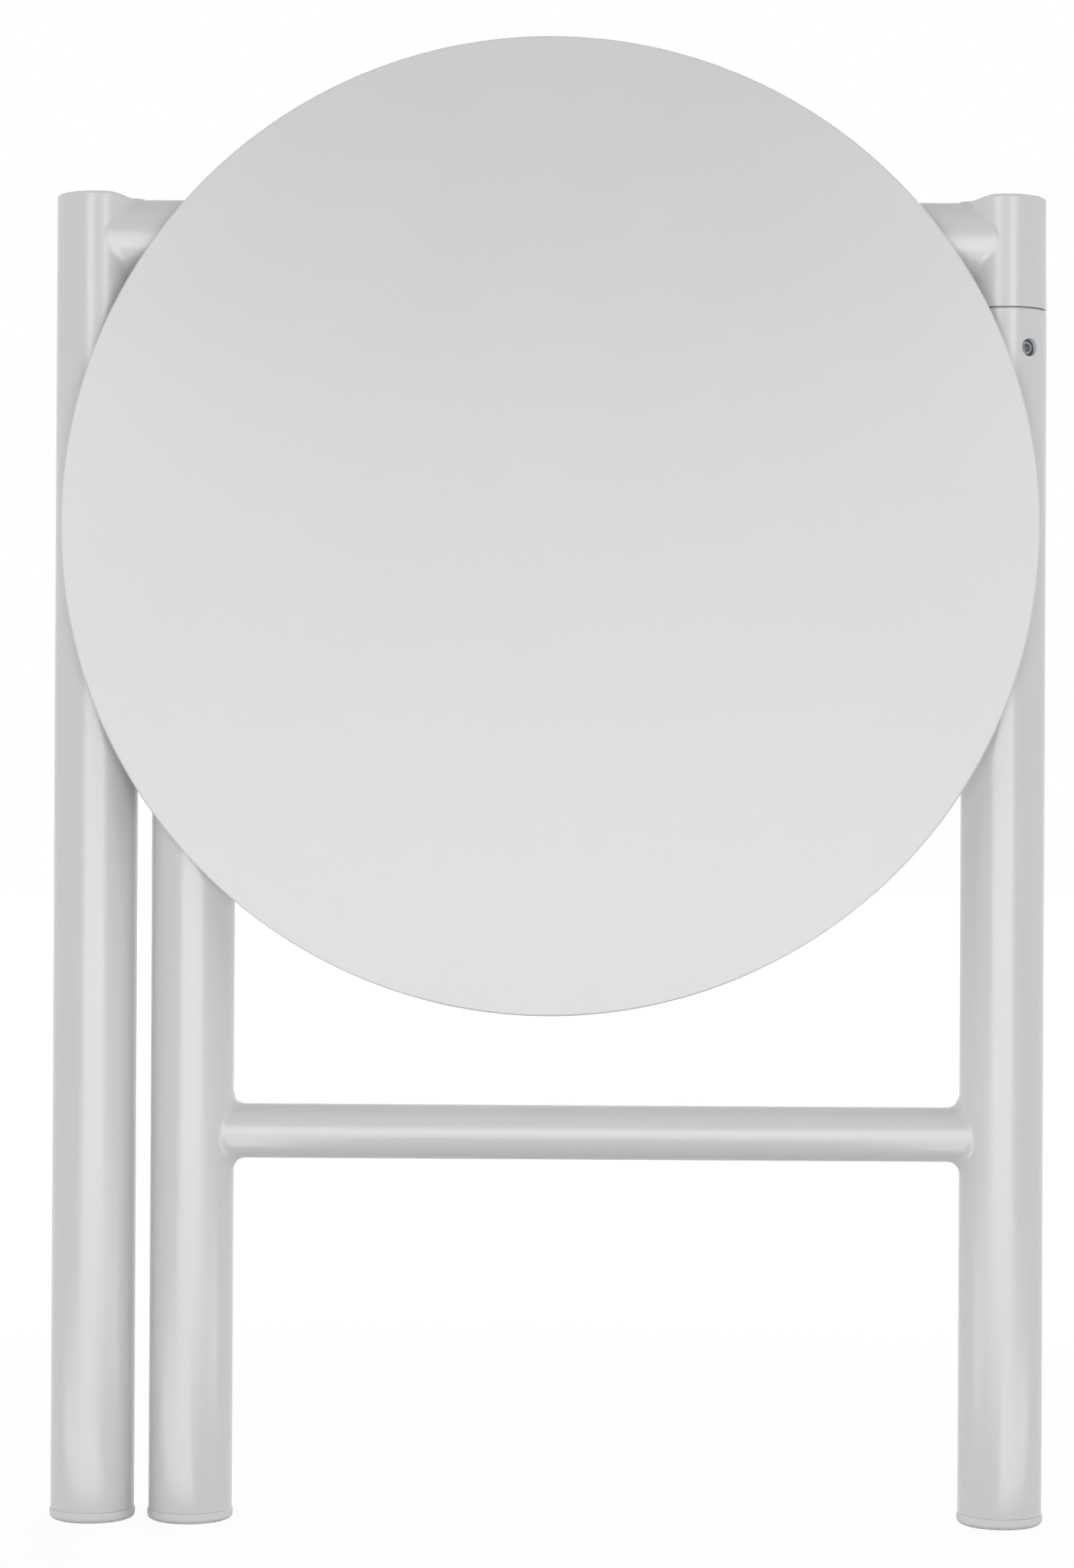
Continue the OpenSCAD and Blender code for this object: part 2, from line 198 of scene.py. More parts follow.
class StoolStage(bpy.types.PropertyGroup):
    """The camera and the light round the stool."""

    camera_x: bpy.props.FloatProperty(
        name="Camera side", description="Place of the camera to the right of the middle",
        default=9.6 * MM, unit="LENGTH", precision=4,
    )
    camera_distance: bpy.props.FloatProperty(
        name="Camera distance", description="Distance of the camera in front of the posts",
        default=1233.5 * MM, min=0.5, max=4.0, unit="LENGTH", precision=4,
    )
    camera_height: bpy.props.FloatProperty(
        name="Camera height", description="Height of the camera above the floor",
        default=242.8 * MM, min=0.05, max=2.0, unit="LENGTH", precision=4,
    )
    camera_turn: bpy.props.FloatProperty(
        name="Camera turn", description="Turn of the camera to the left",
        default=math.radians(0.63), unit="ROTATION",
    )
    camera_tilt: bpy.props.FloatProperty(
        name="Camera tilt", description="Tilt of the camera upwards",
        default=math.radians(0.206), unit="ROTATION",
    )
    camera_roll: bpy.props.FloatProperty(
        name="Camera roll", description="Roll of the camera that lifts its right side",
        default=math.radians(0.294), unit="ROTATION",
    )
    lens: bpy.props.FloatProperty(
        name="Lens", description="Focal length on a 36 mm frame's long side",
        default=84.17, min=20.0, max=300.0, unit="CAMERA",
    )
    front_power: bpy.props.FloatProperty(
        name="Front softbox", description="Power of the wide low lamp in front",
        default=8.6, min=0.0, max=200.0, unit="POWER",
    )
    upper_power: bpy.props.FloatProperty(
        name="Upper softbox", description="Power of the lamp above the wide one",
        default=4.8, min=0.0, max=200.0, unit="POWER",
    )
    side_power: bpy.props.FloatProperty(
        name="Side sheen",
        description="Power of each lamp that gives the post tops their sheen",
        default=2.6, min=0.0, max=200.0, unit="POWER",
    )
    floor_power: bpy.props.FloatProperty(
        name="Floor sheen", description="Power of the sheen that the far floor gives the legs",
        default=18.0, min=0.0, max=200.0, unit="POWER",
    )
    near_power: bpy.props.FloatProperty(
        name="Near sheen", description="Power of the sheen that the near floor gives the legs",
        default=1.65, min=0.0, max=200.0, unit="POWER",
    )
    foot_power: bpy.props.FloatProperty(
        name="Foot sheen",
        description="Power of each sheen that the floor gives the legs' feet",
        default=0.75, min=0.0, max=200.0, unit="POWER",
    )
    back_power: bpy.props.FloatProperty(
        name="Back softbox", description="Power of the lamp behind the stool",
        default=22.0, min=0.0, max=200.0, unit="POWER",
    )
    side_light: bpy.props.FloatProperty(
        name="Side light", description="Strength of the pale walls at both sides",
        default=1.98, min=0.0, max=5.0,
    )


# Outlines and meshes


def ease_corners(outline, radii, steps=6, support=0.15):
    """A closed outline with each corner rounded to its radius. A point just
    past each end of an arc keeps the flats beside it flat."""
    points = []
    for i, (corner, radius) in enumerate(zip(outline, radii)):
        corner = Vector(corner)
        if radius <= 0:
            points.append(corner)
            continue
        back = (Vector(outline[i - 1]) - corner).normalized()
        ahead = (Vector(outline[(i + 1) % len(outline)]) - corner).normalized()
        half = back.angle(ahead) / 2
        reach = radius / math.tan(half)
        hub = corner + (back + ahead).normalized() * (radius / math.sin(half))
        first, last = corner + back * reach - hub, corner + ahead * reach - hub
        turn = first.angle(last)
        points.append(hub + first + back * radius * support)
        for k in range(steps + 1):
            t = k / steps
            arm = first * math.sin((1 - t) * turn) + last * math.sin(t * turn)
            points.append(hub + arm / math.sin(turn))
        points.append(hub + last + ahead * radius * support)
    return points


def skin(rings, closed=True):
    """Vertices and faces over rings of points, each ring closed on itself. A
    closed skin joins its last ring to its first, and an open one is capped."""
    count = len(rings[0])
    verts = [p for ring in rings for p in ring]
    faces = []
    for k in range(len(rings) if closed else len(rings) - 1):
        a, b = k * count, (k + 1) % len(rings) * count
        for j in range(count):
            n = (j + 1) % count
            faces.append((a + j, a + n, b + n, b + j))
    if not closed:
        faces.append(tuple(range(count)))
        faces.append(tuple(range((len(rings) - 1) * count, len(rings) * count)))
    return verts, faces


def lathe(outline, steps=128, start=0.0):
    """Vertices and faces of a closed outline of radius and height points
    turned round Z. Points on the axis become single vertices."""
    verts, rings = [], []
    for radius, height in outline:
        if radius < TOUCH:
            rings.append([len(verts)])
            verts.append(Vector((0, 0, height)))
            continue
        rings.append(list(range(len(verts), len(verts) + steps)))
        for j in range(steps):
            a = start + math.tau * j / steps
            verts.append(Vector((radius * math.cos(a), radius * math.sin(a), height)))
    faces = []
    for k, a in enumerate(rings):
        b = rings[(k + 1) % len(rings)]
        if len(a) == len(b) == 1:
            continue
        for j in range(steps):
            n = (j + 1) % steps
            if len(a) == 1:
                faces.append((a[0], b[j], b[n]))
            elif len(b) == 1:
                faces.append((a[j], b[0], a[n]))
            else:
                faces.append((a[j], b[j], b[n], a[n]))
    return verts, faces


def tube_outline(outer, bore, low, high, ease_low, ease_high, inner_ease):
    """The section of a tube wall with rounded outer rims."""
    return ease_corners(
        [(outer, low), (outer, high), (bore, high), (bore, low)],
        [ease_low, ease_high, inner_ease, inner_ease],
    )


def pierced_tube(outline, outer, bore, hole_r, hole_z, bearing, ease, steps=144):
    """A lathed tube with one round hole through its wall, its mouth eased. A
    square patch of the wall makes way for rings that run from square to round."""
    half = hole_r * 1.7
    columns = 2 * round(half / (outer * math.tau / steps))
    rows = columns
    inner_run = [hole_z + half * (1 - 2 * i / rows) for i in range(rows + 1)]
    outer_run = inner_run[::-1]

    def insert(points, radius, heights):
        """Adds the rows of the hole's patch to the wall at one radius."""
        for i, p in enumerate(points):
            n = points[(i + 1) % len(points)]
            on_wall = max(abs(p[0] - radius), abs(n[0] - radius)) < TOUCH
            if on_wall and min(p[1], n[1]) < heights[0] < max(p[1], n[1]):
                return points[: i + 1] + [(radius, h) for h in heights] + points[i + 1:]
        raise ValueError("the hole lies outside the tube's straight wall")

    points = insert(insert([tuple(p) for p in outline], outer, outer_run), bore, inner_run)
    first = bearing - math.tau / steps * columns / 2
    verts, faces = lathe(points, steps, first)
    outer_row = points.index((outer, outer_run[0]))
    inner_row = points.index((bore, inner_run[0]))
    patch = set()
    for row in (outer_row, inner_row):
        for r in range(rows):
            for c in range(columns):
                patch.add(((row + r) * steps + c, (row + r + 1) * steps + c))
    faces = [f for f in faces if (f[0], f[1]) not in patch]

    def rim(row, flipped):
        """The vertices round a patch, counter-clockwise seen from outside."""
        up = [(0, c) for c in range(columns)] + [(r, columns) for r in range(rows)]
        up += [(rows, columns - c) for c in range(columns)]
        up += [(rows - r, 0) for r in range(rows)]
        if flipped:
            up = [(rows - r, c) for r, c in up]
        return [(row + r) * steps + c for r, c in up]

    loops = [rim(outer_row, False)]
    wall = outer - bore
    square = [(c, 0) for c in range(columns)] + [(columns, r) for r in range(rows)]
    square += [(columns - c, rows) for c in range(columns)]
    square += [(0, rows - r) for r in range(rows)]
    shape = [(half * (2 * c / columns - 1), half * (2 * r / rows - 1)) for c, r in square]

    def loop(radius_of, depth):
        """Adds a ring of vertices at a depth in the wall. Its radius is a
        function of the square's own distance from the hole's axis."""
        made = []
        for u, v in shape:
            span = math.hypot(u, v)
            reach = radius_of(span)
            a = bearing + u / span * reach / (outer - depth)
            p = Vector(((outer - depth) * math.cos(a), (outer - depth) * math.sin(a),
                        hole_z + v / span * reach))
            made.append(len(verts))
            verts.append(p)
        loops.append(made)

    mouth = hole_r + ease
    for share in (0.55, 0.2, 0.05):
        loop(lambda span, s=share: mouth + (span - mouth) * s, 0.0)
    arc_steps = 6
    for k in range(arc_steps + 1):
        a = math.pi / 2 * k / arc_steps
        loop(lambda span, a=a: mouth - ease * math.sin(a), ease * (1 - math.cos(a)))
    loop(lambda span: hole_r, ease * 1.2)
    loop(lambda span: hole_r, wall * 0.97)
    loop(lambda span: hole_r, wall)
    loop(lambda span: hole_r + (span - hole_r) * 0.3, wall)
    loops.append(rim(inner_row, True))
    for a, b in zip(loops, loops[1:]):
        for j in range(len(a)):
            n = (j + 1) % len(a)
            faces.append((a[j], a[n], b[n], b[j]))
    return verts, faces


def coped_bar(bar_r, from_x, to_x, height, wall, steps=96):
    """A tube along X whose ends are cut to fit round the posts at its ends.
    Its rings lie at shares of its length, out along its skin and back inside."""
    rings = []
    for radius, shares in ((bar_r, (0, 0.02, 0.5, 0.98, 1)),
                           (bar_r - wall, (1, 0.5, 0))):
        for share in shares:
            ring = []
            for j in range(steps):
                a = math.tau * j / steps
                side = radius * math.sin(a)
                cope = math.sqrt(LEG_R ** 2 - side ** 2)
                x = from_x + cope + (to_x - from_x - 2 * cope) * share
                ring.append(Vector((x, side, height + radius * math.cos(a))))
            rings.append(ring)
    return skin(rings)


def fillet(bar_r, ball, steps=128, arc=12, sunk=0.25 * MM, proud=0.012 * MM):
    """The concave ring that a ball would leave, rolled round the corner of a
    bar along +X and a post on Z. Its back lies sunk in both."""
    bar, post = bar_r + proud, LEG_R + proud
    rings = []
    for k in range(steps):
        a = math.tau * k / steps
        cy, cz = (bar + ball) * math.sin(a), (bar + ball) * math.cos(a)
        cx = math.sqrt((post + ball) ** 2 - cy ** 2)
        hub = Vector((cx, cy, cz))
        to_bar = Vector((0, -math.sin(a), -math.cos(a)))
        to_post = Vector((-cx, -cy, 0)) / (post + ball)
        turn = to_bar.angle(to_post)
        ring = []
        for i in range(arc + 1):
            t = i / arc
            arm = to_bar * math.sin((1 - t) * turn) + to_post * math.sin(t * turn)
            ring.append(hub + arm * ball / math.sin(turn))
        low, deep = bar_r - sunk, LEG_R - sunk
        side = low * math.sin(a)
        back = Vector((math.sqrt(deep ** 2 - side ** 2), side, low * math.cos(a)))
        inner_post = Vector((ring[-1].x * deep / post, ring[-1].y * deep / post, ring[-1].z))
        inner_bar = Vector((ring[0].x, low * math.sin(a), low * math.cos(a)))
        rings.append([inner_bar] + ring + [inner_post, back])
    return skin(rings)


def bead(path, radius, pitch, sides=12, swell=0.16):
    """A weld bead along a path of points, with the ripples of its run. It
    grows thinner towards its ends."""
    last = len(path) - 1
    rings, run = [], 0.0
    for i, p in enumerate(path):
        along = (path[min(i + 1, last)] - path[max(i - 1, 0)]).normalized()
        if i:
            run += (p - path[i - 1]).length
        across = along.orthogonal().normalized()
        if abs(along.y) < 0.9:
            across = along.cross(Vector((0, 1, 0))).normalized()
        other = along.cross(across)
        wave = 1 + swell * (abs(math.sin(math.pi * run / pitch)) - 0.6)
        wave += 0.05 * math.sin(run * 2100.0) * math.sin(run * 730.0)
        wave *= min(1.0, 0.35 + 0.65 * min(i, last - i) / 4)
        rings.append([
            p + (across * math.cos(math.tau * j / sides)
                 + other * math.sin(math.tau * j / sides)) * radius * wave
            for j in range(sides)
        ])
    return skin(rings, closed=False)


def moved(shape, matrix):
    """A shape's vertices moved by a matrix, with the same faces."""
    verts, faces = shape
    return [matrix @ v for v in verts], faces


def at(x=0.0, y=0.0, z=0.0):
    """A move to a place."""
    return Matrix.Translation((x, y, z))


def behind_seat(x, z, y):
    """Turns a shape's Z to point away from the disc's back, at a place there."""
    return Matrix.Translation((x, y, z)) @ Matrix.Rotation(-math.pi / 2, 4, "X")


def along_bar(x, z):
    """Turns a shape's Z to point along the crossbar, and its X downwards."""
    return Matrix.Translation((x, 0, z)) @ Matrix.Rotation(math.pi / 2, 4, "Y")


def piece(name, shape, finish, body, slot, *nodes, sharp=35.0, trim=None):
    """A shown piece: its mesh, finish and body, and the nodes it stands for."""
    verts, faces = shape
    mesh = bpy.data.meshes.new(name)
    mesh.from_pydata([tuple(v) for v in verts], [], faces)
    edit = bmesh.new()
    edit.from_mesh(mesh)
    bmesh.ops.remove_doubles(edit, verts=edit.verts, dist=TOUCH)
    if trim:
        trim(edit)
    bmesh.ops.recalc_face_normals(edit, faces=edit.faces)
    edit.to_mesh(mesh)
    edit.free()
    mesh.shade_smooth()
    mesh.set_sharp_from_angle(angle=math.radians(sharp))
    mesh.materials.append(finish)
    made = bpy.data.objects.new(name, mesh)
    bpy.context.scene.collection.objects.link(made)
    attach(made, body)
    if nodes:
        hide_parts(*nodes)
    return made


def ground_to_bar(x):
    """Grinds the top of a post at x down towards the bar's top."""
    toward = 1 if x < 0 else -1
    below_bar, starts, ends = 0.45 * MM, 4 * MM, 1 * MM
    deep = POST_TOP - (UPPER_Z + UPPER_R) + below_bar

    def grind(edit):
        """Lowers the vertices near the rim on the bar's side."""
        for vert in edit.verts:
            facing = smooth_step(0.35, 0.88, toward * (vert.co.x - x) / LEG_R)
            high = smooth_step(POST_TOP - starts, POST_TOP - ends, vert.co.z)
            vert.co.z -= deep * facing * high

    return grind


def refinish(node, finish):
    """Gives a CAD node that stays its own finish."""
    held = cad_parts[node]
    held.data.materials.clear()
    held.data.materials.append(finish)


# Finishes


def join(tree, socket, value):
    """Puts a number, a colour or a link on a socket."""
    if isinstance(value, Wire):
        tree.links.new(value.socket, socket)
    else:
        socket.default_value = value


class Wire:
    """A number on a shader socket. Python's operators add Math nodes to it."""

    def __init__(self, tree, socket):
        self.tree = tree
        self.socket = socket

    def math(self, operation, *values, clamp=False):
        """The result of a new Math node on the values."""
        node = self.tree.nodes.new("ShaderNodeMath")
        node.operation = operation
        node.use_clamp = clamp
        for socket, value in zip(node.inputs, values):
            join(self.tree, socket, value)
        return Wire(self.tree, node.outputs[0])

    def __add__(self, other):
        return self.math("ADD", self, other)

    __radd__ = __add__

    def __sub__(self, other):
        return self.math("SUBTRACT", self, other)

    def __rsub__(self, other):
        return self.math("SUBTRACT", other, self)

    def __mul__(self, other):
        return self.math("MULTIPLY", self, other)

    __rmul__ = __mul__

    def clamped(self):
        """The same number, held between 0 and 1."""
        return self.math("ADD", self, 0.0, clamp=True)

    def over(self, low, high):
        """0 below low, 1 above high, and even between."""
        return self.math("DIVIDE", self - low, high - low, clamp=True)


class Finish:
    """A material's nodes, made by one method."""

    def __init__(self, name):
        self.material = bpy.data.materials.new(name)
        self.material.use_nodes = True
        self.tree = self.material.node_tree
        self.tree.nodes.clear()
        self.place = self.node("TexCoord")["Object"]

    def node(self, kind, settings=None, inputs=None):
        """Adds a node and returns its outputs by name or number. The settings
        come before the inputs, because they can change which inputs there are."""
        node = self.tree.nodes.new("ShaderNode" + kind)
        for key, value in (settings or {}).items():
            setattr(node, key, value)
        for key, value in (inputs or {}).items():
            join(self.tree, node.inputs[key], value)
        return {key: Wire(self.tree, socket) for key, socket in self._outputs(node)}

    @staticmethod
    def _outputs(node):
        """The outputs by number, then by name. Of two with one name, the first
        comes last, and so it counts."""
        yield from enumerate(node.outputs)
        for socket in reversed(node.outputs):
            yield socket.name, socket

    def noise(self, scale, detail=2.0, roughness=0.5, vector=None, seed=0.0):
        """Smooth noise from 0 to 1, with features of about 1 / scale metres."""
        return self.node(
            "TexNoise", {"noise_dimensions": "4D"},
            {"Vector": vector or self.place, "W": seed, "Scale": scale,
             "Detail": detail, "Roughness": roughness},
        )["Fac"]

    def stretched(self, x, y, z):
        """The place on the piece with each axis scaled."""
        return self.node("Mapping", {}, {"Vector": self.place, "Scale": (x, y, z)})["Vector"]

    def axis(self, name):
        """One coordinate of the place, in metres."""
        return self.node("SeparateXYZ", {}, {"Vector": self.place})[name]

    def blend(self, share, first, second):
        """A colour between two, by a share from 0 to 1."""
        return self.node(
            "Mix", {"data_type": "RGBA", "clamp_factor": True},
            {0: share, 6: (*first, 1.0) if isinstance(first, tuple) else first,
             7: (*second, 1.0) if isinstance(second, tuple) else second},
        )[2]

    def bump(self, height, distance, strength=1.0):
        """A normal that follows a height from 0 to 1, scaled by a distance."""
        return self.node("Bump", {}, {"Height": height, "Distance": distance,
                                      "Strength": strength})["Normal"]

    def surface(self, inputs):
        """Ends the material with one Principled shader."""
        shader = self.node("BsdfPrincipled", {}, inputs)["BSDF"]
        self.node("OutputMaterial", {}, {"Surface": shader})
        return self.material


def shade(colour, factor):
    """A colour made lighter or darker."""
    return tuple(min(1.0, c * factor) for c in colour)


def powder_coat(colour):
    """Satin powder coat: a faint orange peel, slow mottling and fine grain."""
    f = Finish("satin_powder_coat")
    cloud = f.noise(26.0, 3.0, 0.55, seed=1.3)
    drift = f.noise(7.0, 2.0, 0.5, seed=4.1)
    grain = f.noise(5200.0, 1.0, 0.5, seed=2.2)
    fleck = f.noise(950.0, 1.0, 0.4, seed=7.7).over(0.70, 0.78)
    tone = (cloud - 0.5) * 0.55 + (drift - 0.5) * 0.5 + (grain - 0.5) * 0.22 + 0.5
    body = f.blend(tone.clamped(), shade(colour, 0.972), shade(colour, 1.028))
    colour_out = f.blend(fleck * 0.10, body, shade(colour, 0.80))
    peel = f.noise(620.0, 2.0, 0.45, seed=3.5)
    fine = f.noise(2600.0, 2.0, 0.5, seed=5.9)
    normal = f.bump(peel * 0.75 + fine * 0.25, 0.012 * MM, 1.0)
    rough = 0.24 + (cloud - 0.5) * 0.08 + (fine - 0.5) * 0.05
    return f.surface({
        "Base Color": colour_out, "Roughness": rough, "Normal": normal,
        "Specular IOR Level": 0.5, "IOR": 1.5,
    })


def moulded_plastic(colour):
    """Matte moulded plastic with a spark-eroded grain."""
    f = Finish("moulded_foot_plastic")
    grain = f.noise(1900.0, 2.0, 0.6, seed=1.1)
    scuff = f.noise(140.0, 4.0, 0.6, seed=2.9)
    low = 1.0 - f.axis("Z").over(0.0, 1.6 * MM)
    dirt = (low * scuff.over(0.38, 0.7) * 0.5).clamped()
    base = f.blend(scuff, shade(colour, 0.96), shade(colour, 1.03))
    base = f.blend(dirt, base, shade(colour, 0.55))
    return f.surface({
        "Base Color": base, "Roughness": 0.55 + (grain - 0.5) * 0.2,
        "Normal": f.bump(grain, 0.03 * MM, 0.8), "Specular IOR Level": 0.45,
    })


def turned_nylon(colour):
    """Nylon with the rings of its turning."""
    f = Finish("turned_nylon")
    rings = f.noise(1.0, 2.0, 0.5, f.stretched(60.0, 60.0, 5200.0), seed=3.0)
    stain = f.noise(240.0, 3.0, 0.5, seed=1.0)
    base = f.blend(stain, shade(colour, 0.86), shade(colour, 1.12))
    return f.surface({
        "Base Color": base, "Roughness": 0.42 + (rings - 0.5) * 0.2,
        "Normal": f.bump(rings, 0.02 * MM, 0.6),
    })


def pad_rubber(colour):
    """Dark rubber with a fine matte grain and a dusty bloom."""
    f = Finish("pad_rubber")
    grain = f.noise(2300.0, 3.0, 0.6, seed=2.0)
    bloom = f.noise(170.0, 4.0, 0.6, seed=6.0)
    base = f.blend(bloom.over(0.35, 0.75), shade(colour, 0.85), shade(colour, 1.5))
    return f.surface({
        "Base Color": base, "Roughness": 0.78 + (grain - 0.5) * 0.15,
        "Normal": f.bump(grain, 0.04 * MM, 0.8), "Specular IOR Level": 0.35,
    })


def zinc_plate(colour):
    """Bright zinc plate over turned steel."""
    f = Finish("zinc_plate")
    rings = f.noise(1.0, 3.0, 0.6, f.stretched(90.0, 90.0, 4200.0), seed=8.0)
    cloud = f.noise(420.0, 3.0, 0.6, seed=5.0)
    base = f.blend(cloud, shade(colour, 0.82), shade(colour, 1.08))
    return f.surface({
        "Base Color": base, "Metallic": 1.0,
        "Roughness": 0.34 + (cloud - 0.5) * 0.16 + (rings - 0.5) * 0.1,
        "Normal": f.bump(rings, 0.012 * MM, 0.7),
    })


FINISHES = {
    "coated_steel": ("coat", powder_coat),
    "foot_plastic": ("foot", moulded_plastic),
    "nylon": ("nylon", turned_nylon),
    "pad_rubber": ("rubber", pad_rubber),
    "bare_steel": ("steel", zinc_plate),
}
made_finishes = {}


def finish_for(slot):
    """The finish of a material slot, made once from its colour."""
    if slot not in made_finishes:
        name, make = FINISHES[slot]
        colour = tuple(getattr(bpy.context.scene.stool_colours, name))
        made_finishes[slot] = make(colour)
    return made_finishes[slot]


def coated(name, shape, body, *nodes, **options):
    """A piece in powder-coated steel."""
    return piece(name, shape, finish_for("coated_steel"), body, "coated_steel",
                 *nodes, **options)


# Pieces


class STOOL_OT_legs(bpy.types.Operator):
    """Add the three legs, the hinge post and the discs that close the posts"""

    bl_idname = "stool.legs"
    bl_label = "Leg Tubes"

    def execute(self, context):
        s = context.scene.stool_sizes
        bore = LEG_R - s.tube_wall
        inner, mouth = 0.25 * MM, 0.12 * MM
        tubes = [
            ("left_leg_tube", LEFT_X, TUBE_FOOT, POST_TOP, s.seam_round, s.rim_round,
             FIXED, "left_leg"),
            ("hinge_post_tube", RIGHT_X, SEAM_HIGH, POST_TOP, s.seam_round, s.rim_round,
             FIXED, "hinge_post"),
            ("third_leg_tube", THIRD_X, TUBE_FOOT, THIRD_TUBE_TOP, s.seam_round,
             s.seam_round, SWING, "third_leg"),
        ]
        for name, x, low, high, ease_low, ease_high, body, node in tubes:
            outline = tube_outline(LEG_R, bore, low, high, ease_low, ease_high, inner)
            trim = ground_to_bar(x) if high == POST_TOP else None
            coated(name, moved(lathe(outline), at(x)), body, node, trim=trim)
        outline = tube_outline(
            LEG_R, bore, TUBE_FOOT, SEAM_LOW, s.seam_round, s.seam_round, inner)
        pierced = pierced_tube(
            outline, LEG_R, bore, s.hole_width / 2, HOLE_Z,
            s.hole_bearing - math.pi / 2, mouth)
        coated("right_leg_tube", moved(pierced, at(RIGHT_X)), SWING, "right_leg")
        # Each disc falls away in a dish at its rim. The extra rings on its flat
        # let the grinding bend it.
        dish, dish_wide, flat = 0.35 * MM, 1.6 * MM, POST_TOP - 0.05 * MM
        flat_shares = (0.72, 0.58, 0.44, 0.3, 0)
        disc = ease_corners(
            [(0, CAP_LOW), (INSERT_R, CAP_LOW), (INSERT_R, POST_TOP - dish),
             (INSERT_R - dish_wide, flat)] + [(INSERT_R * t, flat) for t in flat_shares],
            [0, 0.3 * MM, 0.15 * MM, 0.5 * MM] + [0] * len(flat_shares))
        for side, x in (("left_leg", LEFT_X), ("hinge_post", RIGHT_X)):
            coated(side + "_top", moved(lathe(disc), at(x)), FIXED, side + "_cap",
                   trim=ground_to_bar(x))
        return {"FINISHED"}


class STOOL_OT_crossbars(bpy.types.Operator):
    """Add the two crossbars, cut at their ends to fit round the legs"""

    bl_idname = "stool.crossbars"
    bl_label = "Crossbars"

    def execute(self, context):
        wall = context.scene.stool_sizes.tube_wall
        coated("upper_bar", coped_bar(UPPER_R, LEFT_X, RIGHT_X, UPPER_Z, wall), FIXED,
               "upper_crossbar")
        coated("lower_bar", coped_bar(LOWER_R, THIRD_X, RIGHT_X, LOWER_Z, wall), SWING,
               "lower_crossbar")
        return {"FINISHED"}


class STOOL_OT_fillets(bpy.types.Operator):
    """Add the ground weld fillets where the crossbars meet the legs"""

    bl_idname = "stool.fillets"
    bl_label = "Weld Fillets"

    def execute(self, context):
        s = context.scene.stool_sizes
        flip = Matrix.Scale(-1, 4, (1, 0, 0))
        limit = POST_TOP - s.rim_round
        fall, starts, wide = 0.6 * MM, 3 * MM, 8 * MM

        def grind(edit):
            """Cuts the fillet off at the post's rim, and rounds it to front and back."""
            cut = bmesh.ops.bisect_plane(
                edit, geom=edit.verts[:] + edit.edges[:] + edit.faces[:],
                plane_co=(0, 0, limit), plane_no=(0, 0, 1), clear_outer=True)
            rim = [e for e in cut["geom_cut"] if isinstance(e, bmesh.types.BMEdge)]
            bmesh.ops.contextual_create(edit, geom=rim)
            for vert in edit.verts:
                high = smooth_step(limit - starts, limit, vert.co.z)
                vert.co.z -= fall * high * smooth_step(0, wide, abs(vert.co.y))

        upper, lower = fillet(UPPER_R, s.upper_fillet), fillet(LOWER_R, s.lower_fillet)
        coated("upper_left_fillet", moved(upper, at(LEFT_X, 0, UPPER_Z)), FIXED,
               "weld_upper_left", trim=grind)
        coated("upper_right_fillet", moved(upper, at(RIGHT_X, 0, UPPER_Z) @ flip), FIXED,
               "weld_upper_right", trim=grind)
        coated("lower_inner_fillet", moved(lower, at(THIRD_X, 0, LOWER_Z)), SWING,
               "weld_lower_inner")
        coated("lower_right_fillet", moved(lower, at(RIGHT_X, 0, LOWER_Z) @ flip), SWING,
               "weld_lower_right")
        return {"FINISHED"}


class STOOL_OT_feet(bpy.types.Operator):
    """Add the moulded feet and the third leg's cap"""

    bl_idname = "stool.feet"
    bl_label = "Feet and Cap"

    def execute(self, context):
        s = context.scene.stool_sizes
        finish = finish_for("foot_plastic")
        thin = 2.0 * MM
        hollow, deep = FOOT_R * 0.5, 0.7 * MM
        foot = ease_corners(
            [(0, deep), (hollow, deep), (hollow + 0.6 * MM, 0), (FOOT_R, 0),
             (FOOT_R, TUBE_FOOT), (INSERT_R, TUBE_FOOT), (INSERT_R, PLUG_TOP),
             (INSERT_R - thin, PLUG_TOP), (INSERT_R - thin, TUBE_FOOT), (0, TUBE_FOOT)],
            [0, 0.2 * MM, 0.3 * MM, s.foot_round,
             0.5 * MM, 0, 0.6 * MM, 0.3 * MM, 0.4 * MM, 0])
        for name, x, body in (("left_foot", LEFT_X, FIXED), ("right_foot", RIGHT_X, SWING),
                              ("third_foot", THIRD_X, SWING)):
            piece(name + "_plug", moved(lathe(foot), at(x)), finish, body,
                  "foot_plastic", name)
        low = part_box("third_leg_cap")[0].z
        cap = ease_corners(
            [(0, THIRD_TUBE_TOP), (INSERT_R - thin, THIRD_TUBE_TOP), (INSERT_R - thin, low),
             (INSERT_R, low), (INSERT_R, THIRD_TUBE_TOP), (LEG_R, THIRD_TUBE_TOP),
             (LEG_R, THIRD_TOP), (0, THIRD_TOP)],
            [0, 0.4 * MM, 0.3 * MM, 0.8 * MM, 0, 0.3 * MM, 0.9 * MM, 0])
        piece("third_leg_top", moved(lathe(cap), at(THIRD_X)), finish, SWING,
              "foot_plastic", "third_leg_cap")
        return {"FINISHED"}


